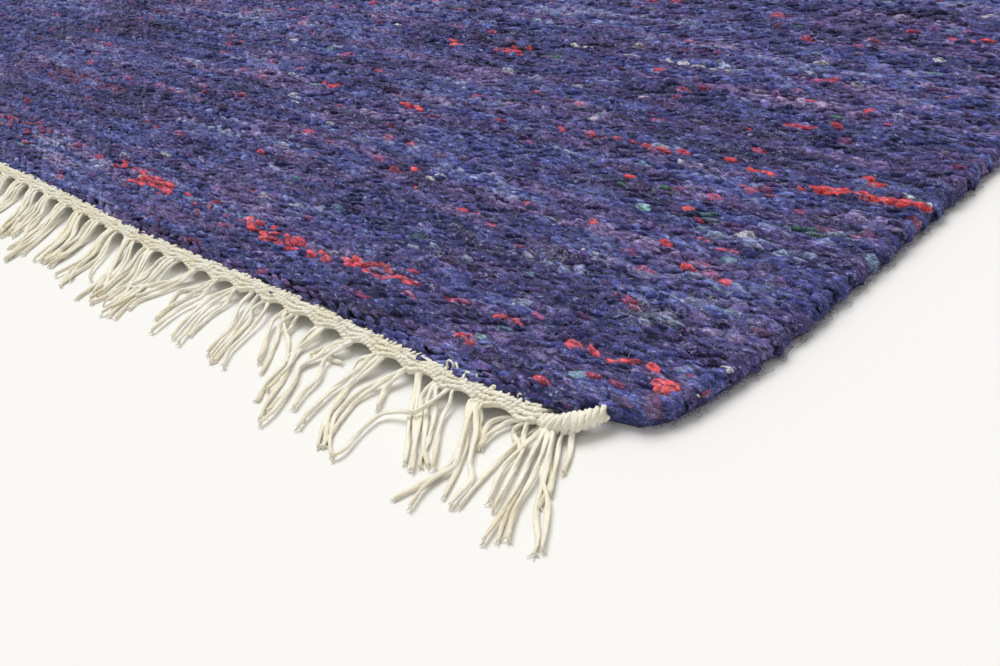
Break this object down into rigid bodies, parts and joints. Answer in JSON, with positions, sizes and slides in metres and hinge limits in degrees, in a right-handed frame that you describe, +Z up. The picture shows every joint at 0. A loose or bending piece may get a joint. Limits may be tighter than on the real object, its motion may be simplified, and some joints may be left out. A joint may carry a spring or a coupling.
{
  "type": "hand-woven kilim rug with fringed ends",
  "caption": "Flat rectangular weft-faced rug with rounded corners, cream cotton end bands, wrapped corner tails and a loose fringe along both ends.",
  "frame": {"origin": "on the ground under the middle of the rug", "axes": "+X across the rug along the weft and the fringed ends, +Y along the warp and the selvedges, +Z up"},
  "size_m": [1.1998, 1.896, 0.0094],
  "materials": {
    "dyed_yarn": "thick fuzzy weft yarn in mixed indigo, navy, violet and slate, with flecks of coral, red, pink, white and mint",
    "cotton_cord": "undyed cream cotton warp cord and weft, matt, lightly twisted, tan in the folds"
  },
  "bodies": {
    "root": {"field": "dyed_yarn", "band_front": "cotton_cord", "band_back": "cotton_cord", "tail_front_right": "cotton_cord", "tail_front_left": "cotton_cord", "tail_back_left": "cotton_cord", "tail_back_right": "cotton_cord"}
  },
  "joints": []
}
